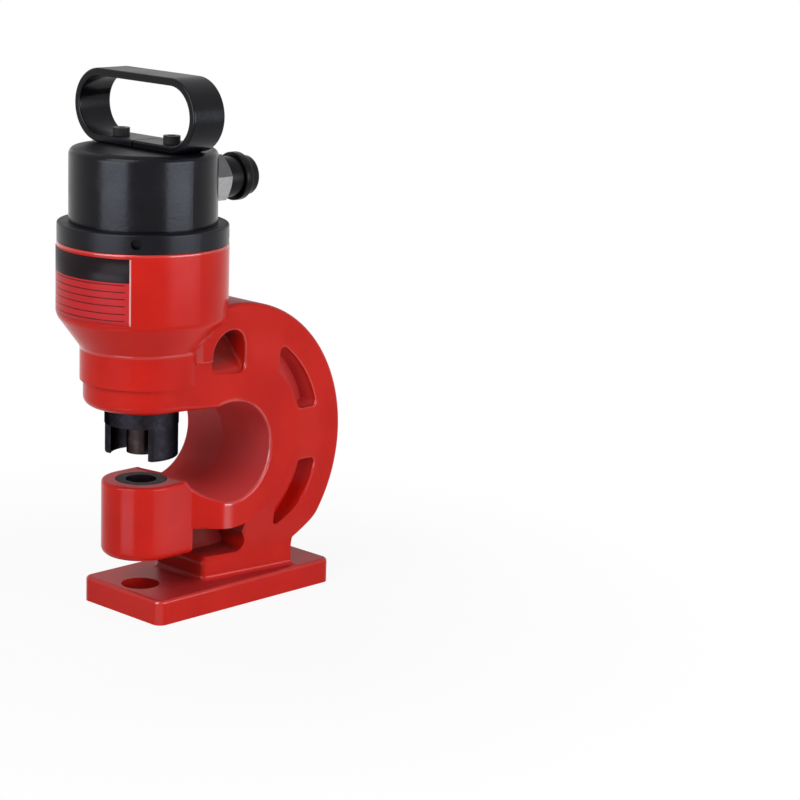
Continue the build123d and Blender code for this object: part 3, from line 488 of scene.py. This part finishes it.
# %% Wound coils
TURNS = 6
STEPS_IN_A_TURN = 40
WIRE_SIDES = 14
RAM_WIRE = 0.005
VALVE_WIRE = 0.0012
ORIGIN = Vector((0.0, 0.0, 0.0))
UPRIGHT = Vector((0.0, 0.0, 1.0))
ALONG_COUPLER = Vector((0.0, 1.0, 0.0))


def wound_coil(node, wire, axis):
    """A bmesh of a coil that fills the room of a CAD coil, from its lower end up the axis."""
    lowest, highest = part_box(node)
    length = (highest - lowest).dot(axis)
    radius = (highest.x - lowest.x - wire) / 2
    start = Matrix.Translation((radius, 0.0, wire / 2)) @ Matrix.Rotation(math.pi / 2, 4, "X")
    shape = bmesh.new()
    bmesh.ops.create_circle(shape, cap_ends=True, segments=WIRE_SIDES, radius=wire / 2, matrix=start)
    count = TURNS * STEPS_IN_A_TURN
    rise = UPRIGHT * ((length - wire) / count)
    section = shape.verts[:] + shape.edges[:] + shape.faces[:]
    bmesh.ops.spin(shape, geom=section, cent=ORIGIN, axis=UPRIGHT, dvec=rise, angle=TURNS * math.tau, steps=count)
    bmesh.ops.recalc_face_normals(shape, faces=shape.faces[:])
    lean = UPRIGHT.rotation_difference(axis).to_matrix()
    bmesh.ops.rotate(shape, verts=shape.verts[:], cent=ORIGIN, matrix=lean)
    middle = (lowest + highest) / 2
    bmesh.ops.translate(shape, verts=shape.verts[:], vec=middle - axis * length / 2)
    return shape


def pressed_coil(name, node, wire, axis):
    """The coil as a piece with a mesh of its own, in place of the CAD coil."""
    coil = stand_in(wound_coil(node, wire, axis), name, spring_wire, node)
    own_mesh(coil)


pressed_coil("ram_coil", "return_spring", RAM_WIRE, UPRIGHT)
pressed_coil("valve_coil", "valve_spring", VALVE_WIRE, ALONG_COUPLER)

# %% [markdown]
# ## Rubber and plastic
# The dust cap is moulded in black plastic with a fine grain, the wiper and the piston seal are rubber, and the
# piston's two guide rings are pale machined plastic. They are not metals, so the grain and a soft roughness
# do the work, with the colour moved a little so that none of them is flat.

# %% Moulded parts
def moulded(name, low, high, roughness, grain_size, grain_depth):
    material, where = start_finish(name)
    grain = blotches(where, grain_size, detail=3.0)
    tone = blotches(where, 0.012, detail=3.0)
    shader = where.node("ShaderNodeBsdfPrincipled", {}, {
        "Base Color": between(steps(tone, *PATCHY), low, high),
        "Roughness": roughness + 0.10 * tone,
        "Specular IOR Level": 0.11,
        "Normal": bumps(grain, grain_depth, 0.4),
    })
    end_finish(shader)
    return material


cap_plastic = moulded("cap_plastic", (0.0026, 0.0024, 0.0030), (0.0050, 0.0046, 0.0056), 0.26, 0.0006, 0.00006)
paint(moulded("seal_rubber", (0.010, 0.010, 0.010), (0.018, 0.018, 0.018), 0.55, 0.0005, 0.00005),
      "rod_wiper", "piston_seal")
paint(moulded("ring_plastic", (0.60, 0.57, 0.46), (0.68, 0.65, 0.54), 0.45, 0.0008, 0.00003),
      "piston_wear_ring", "piston_backup_ring")
print("cap plastic waits for its cap")

# %% [markdown]
# ## The dust cap
# On the real cap the pull rim sits back from the end, and a round crown stands out in front of it. A moulded cap
# is one profile spun about its axis: corners of radius and distance from the open end, in metres. A mould has no
# knife edges, so every ring that sticks out is rounded with a bevel. The spun cap takes the room and the motion of
# the CAD cap.

# %% Spin the dust cap
CAP_BORE = 0.0098
CAP_WALL = 0.0136
RIM_RADIUS = 0.0160
RIM_BACK = 0.0122
RIM_FRONT = 0.0187
CROWN_RADIUS = 0.0131
END_WALL = 0.0040
CAP_ROUND = 0.0012
CAP_STEPS = 72
STICKS_OUT = 1.0  # radians between the two faces of an edge

lowest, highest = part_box("dust_cap")
tip = highest.y - lowest.y
bore_end = tip - END_WALL
profile = [
    (0.0, bore_end), (CAP_BORE, bore_end), (CAP_BORE, 0.0), (CAP_WALL, 0.0), (CAP_WALL, RIM_BACK),
    (RIM_RADIUS, RIM_BACK), (RIM_RADIUS, RIM_FRONT), (CROWN_RADIUS, RIM_FRONT), (CROWN_RADIUS, tip), (0.0, tip),
]
foot = Vector(((lowest.x + highest.x) / 2, lowest.y, (lowest.z + highest.z) / 2))

cap = bmesh.new()
corners = [cap.verts.new(foot + Vector((radius, along, 0.0))) for radius, along in profile]
sides = [cap.edges.new(pair) for pair in zip(corners, corners[1:])]
bmesh.ops.spin(cap, geom=corners + sides, cent=foot, axis=ALONG_COUPLER, angle=math.tau, steps=CAP_STEPS)
bmesh.ops.remove_doubles(cap, verts=cap.verts[:], dist=MERGE)
bmesh.ops.recalc_face_normals(cap, faces=cap.faces[:])
proud = [edge for edge in cap.edges if edge.calc_face_angle_signed(0.0) > STICKS_OUT]
bmesh.ops.bevel(cap, geom=proud, offset=CAP_ROUND, segments=5, profile=0.5, affect="EDGES")
stand_in(cap, "spun_cap", cap_plastic, "dust_cap", "dust_cap")

# %% [markdown]
# ## The printed plate
# A thin plate is wrapped round the front of the housing. It carries a black band, ruled rows and a pale border,
# and no words. It could be a picture on a texture, but real faces stay sharp at any size: a column of points, one
# at each printed line, is spun about the tool's axis, and every strip takes the colour of its ink.

# %% Inks of the plate
INK_ROUGHNESS = 0.22


def ink(name, colour):
    material, where = start_finish(name)
    tone = blotches(where, 0.01, detail=3.0)
    faded = tuple(0.85 * part for part in colour)
    shader = where.node("ShaderNodeBsdfPrincipled", {}, {
        "Base Color": between(tone, faded, colour),
        "Roughness": INK_ROUGHNESS + 0.08 * tone,
        "Specular IOR Level": 0.06,
        "Normal": bumps(blotches(where, 0.003, detail=1.0), 0.00008, 0.3),
    })
    end_finish(shader)
    return material


INKS = [
    ink("plate_red", (0.60, 0.030, 0.034)),
    ink("plate_black", (0.015, 0.009, 0.011)),
    ink("plate_rule", (0.12, 0.014, 0.016)),
    ink("plate_border", (0.80, 0.42, 0.40)),
]
RED, BLACK, RULE, BORDER = range(4)
print("inks:", ", ".join(material.name for material in INKS))

# %% Strips of the plate, from the bottom up
PLATE_BOTTOM = 0.2010
PLATE_TOP = 0.2430
LINE = 0.0007
RULES = (0.2039, 0.2083, 0.2133, 0.2178, 0.2222, 0.2266)
BAND_BOTTOM = 0.2280

strips = []
level = PLATE_BOTTOM
for rule in RULES:
    strips += [(level, RED), (rule - LINE / 2, RULE)]
    level = rule + LINE / 2
strips += [(level, RED), (BAND_BOTTOM, BLACK)]
levels = [low for low, ink_index in strips] + [PLATE_TOP]
print("strips:", len(strips), "plate height (mm):", round(1000 * (PLATE_TOP - PLATE_BOTTOM), 1))

# %% Spin the plate
HALF_ANGLE = math.radians(42.0)
PLATE_THICK = 0.0003
PLATE_STEPS = 56
plate_radius = PLATE_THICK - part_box("c_frame")[0].y
border_angle = 0.0010 / plate_radius
margin_angle = 0.0035 / plate_radius

sheet = bmesh.new()
column = [sheet.verts.new((0.0, -plate_radius, z)) for z in levels]
edge_of_sheet = [sheet.edges.new(pair) for pair in zip(column, column[1:])]
bmesh.ops.rotate(sheet, verts=column, cent=ORIGIN, matrix=Matrix.Rotation(-HALF_ANGLE, 3, "Z"))
moving = column + edge_of_sheet
for angle, count in ((border_angle, 1), (2 * (HALF_ANGLE - border_angle), PLATE_STEPS), (border_angle, 1)):
    swept = bmesh.ops.spin(sheet, geom=moving, cent=ORIGIN, axis=UPRIGHT, angle=angle, steps=count)
    moving = swept["geom_last"]
for face in sheet.faces:
    middle = face.calc_center_median()
    row = max(i for i, low in enumerate(levels[:-1]) if middle.z > low)
    turn = abs(math.atan2(middle.x, -middle.y))
    face.material_index = strips[row][1]
    if turn > HALF_ANGLE - border_angle:
        face.material_index = BORDER
    elif turn > HALF_ANGLE - margin_angle and strips[row][1] == RULE:
        face.material_index = RED
inwards = [face for face in sheet.faces if face.normal.dot(face.calc_center_median()) < 0.0]
bmesh.ops.reverse_faces(sheet, faces=inwards)
bmesh.ops.solidify(sheet, geom=sheet.faces[:], thickness=PLATE_THICK)
for face in sheet.faces:
    face.smooth = True
print("plate spun, open edges:", sum(not edge.is_manifold for edge in sheet.edges))

# %% Put the plate on the housing
mesh = bpy.data.meshes.new("data_plate")
sheet.to_mesh(mesh)
sheet.free()
plate = bpy.data.objects.new("data_plate", mesh)
bpy.context.scene.collection.objects.link(plate)
for material in INKS:
    mesh.materials.append(material)
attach(plate, "frame")
print("plate faces:", len(mesh.polygons), "radius (mm):", round(1000 * plate_radius, 2))

# %% [markdown]
# ## A small white studio
# The tool stands on a pale floor in even light. The world is white where the camera or a reflection sees it, and
# a plain level of light elsewhere, so the background can be pure white without more light on the tool. The floor
# does the same, but keeps part of its own shading near the tool, so the tool's shadow stays on it.

# %% White world
WHITE = (1.0, 1.0, 1.0, 1.0)
PLAIN_LIGHT = 0.15


def seen_directly(tree):
    """1 for rays from the camera, from reflections and through glass, 0 for the light that falls on things."""
    path = tree.nodes.new("ShaderNodeLightPath")
    camera = Wire(tree, path.outputs["Is Camera Ray"])
    glossy = Wire(tree, path.outputs["Is Glossy Ray"])
    through = Wire(tree, path.outputs["Is Transmission Ray"])
    return camera.maths("MINIMUM", camera + glossy + through, 1.0)


world = bpy.data.worlds.new("white_studio")
bpy.context.scene.world = world
world.use_nodes = True
world.node_tree.nodes.clear()
seen = seen_directly(world.node_tree)
lighting = seen.node("ShaderNodeBackground", {}, {"Color": WHITE, "Strength": PLAIN_LIGHT})
backdrop = seen.node("ShaderNodeBackground", {}, {"Color": WHITE, "Strength": 1.0})
sky = seen.node("ShaderNodeMixShader", {}, {0: seen, 1: lighting, 2: backdrop})
sky.node("ShaderNodeOutputWorld", {}, {"Surface": sky})
print("world ready")

# %% Pale floor
FLOOR_RADIUS = 6.0
FLOOR_FADE = (0.14, 0.45)
NEAR_WHITE = 0.91

material, where = start_finish("pale_floor")
seen = seen_directly(material.node_tree)
reach = where.node("ShaderNodeVectorMath", {"operation": "LENGTH"}, {0: where}, out="Value")
whiteness = NEAR_WHITE + (1.0 - NEAR_WHITE) * steps(reach, *FLOOR_FADE)
matt = where.node("ShaderNodeBsdfDiffuse", {}, {"Color": (0.86, 0.86, 0.86, 1.0)})
white = where.node("ShaderNodeEmission", {}, {"Color": WHITE, "Strength": 1.0})
end_finish(where.node("ShaderNodeMixShader", {}, {0: seen * whiteness, 1: matt, 2: white}))

ground = bmesh.new()
bmesh.ops.create_circle(ground, cap_ends=True, segments=96, radius=FLOOR_RADIUS)
mesh = bpy.data.meshes.new("floor")
ground.to_mesh(mesh)
ground.free()
mesh.materials.append(material)
floor = bpy.data.objects.new("floor", mesh)
bpy.context.scene.collection.objects.link(floor)
print("floor radius (m):", FLOOR_RADIUS)

# %% [markdown]
# ## Lamps
# A round surface shows a lamp where its normal lies half way between the eye and the lamp, so the two broad bands
# down the black cylinder tell at what angle the bright things of the studio stood. How bright the red paint is on
# its front, its side and its tops tells how strong each lamp is. Both point to a low box beside the tool, a higher
# one in front, and little light from elsewhere. A box behind the tool keeps its back readable and reaches almost
# no face that the camera sees. The cards light nothing and only show in gloss: two big ones make the cylinder's
# bands, and two small ones near the floor make the sheen on the boss and the foot.

# %% Softboxes
def around(azimuth, distance, height):
    """A place at an angle about the punch axis, counted from +X towards +Y."""
    turn = math.radians(azimuth)
    return Vector((distance * math.cos(turn), distance * math.sin(turn), height))


def softbox(name, place, target, size, radiance, lights=True, shows=True, tint=(1.0, 1.0, 1.0)):
    """A rectangle of light that looks as bright as radiance, where 1 is a white sheet in full light.
    It lights what it reaches, shows in what is glossy, or both."""
    lamp = bpy.data.lights.new(name, "AREA")
    lamp.shape = "RECTANGLE"
    lamp.size, lamp.size_y = size
    lamp.energy = math.pi * size[0] * size[1] * radiance
    lamp.color = tint
    holder = bpy.data.objects.new(name, lamp)
    bpy.context.scene.collection.objects.link(holder)
    holder.location = place
    aim = Vector(target) - Vector(place)
    holder.rotation_euler = aim.to_track_quat("-Z", "Y").to_euler()
    holder.visible_camera = False
    holder.visible_diffuse = lights
    holder.visible_glossy = shows
    print(name, "watts:", round(lamp.energy, 2))


print("softboxes ready")

# %% Boxes that light the tool
MIDDLE = (0.0, 0.04, 0.17)
FAR = 1.3
BIG = (1.0, 0.55)
softbox("side_box", (1.257, 0.330, 0.328), MIDDLE, BIG, 4.9, shows=False)
softbox("front_box", (0.193, -0.952, 0.988), MIDDLE, (0.8, 0.8), 5.4)
softbox("back_box", around(155, FAR, 0.40), MIDDLE, BIG, 4.0, shows=False)

# %% Cards that show in gloss
COOL = (0.80, 0.87, 1.0)
NEAR = 0.16
CYLINDER_HEIGHT = 0.325
FOOT_HEIGHT = 0.026
CARDS = [
    ("side_card", 15.5, FAR, CYLINDER_HEIGHT, BIG, 9.2),
    ("front_card", -85.5, FAR, CYLINDER_HEIGHT, BIG, 9.2),
    ("low_front_card", -77.5, NEAR, FOOT_HEIGHT, (0.10, 0.05), 4.0),
    ("low_side_card", 18.0, NEAR, FOOT_HEIGHT, (0.14, 0.05), 2.2),
]
for name, azimuth, distance, height, size, radiance in CARDS:
    place = around(azimuth, distance, height)
    softbox(name, place, (0.0, 0.0, height), size, radiance, lights=False, tint=COOL)

# %% [markdown]
# ## The camera
# Its place and lens were fitted to the photograph's edges: it stands to the right of the open throat, looks a
# little down, and is held with a slight roll. A rotation about the upright axis, then one down, then the roll
# gives its three directions.

# %% Camera
YAW = math.radians(43.4015)
PITCH = math.radians(13.1304)
ROLL = math.radians(1.8594)
CAMERA_PLACE = (1.20357, -1.02877, 0.51403)

ahead = Vector((-math.sin(YAW), math.cos(YAW), 0.0))
level_right = Vector((math.cos(YAW), math.sin(YAW), 0.0))
forward = ahead * math.cos(PITCH) - UPRIGHT * math.sin(PITCH)
tilted_up = UPRIGHT * math.cos(PITCH) + ahead * math.sin(PITCH)
right = level_right * math.cos(ROLL) + tilted_up * math.sin(ROLL)
up = tilted_up * math.cos(ROLL) - level_right * math.sin(ROLL)

lens = bpy.data.cameras.new("camera")
lens.lens = 112.12
lens.sensor_width = 36.0
lens.clip_end = 30.0
camera = bpy.data.objects.new("camera", lens)
bpy.context.scene.collection.objects.link(camera)
turn = Matrix((right, up, -forward)).transposed().to_4x4()
camera.matrix_world = Matrix.Translation(CAMERA_PLACE) @ turn
bpy.context.scene.camera = camera
bpy.context.scene.view_settings.view_transform = "Standard"
print("camera at", CAMERA_PLACE)
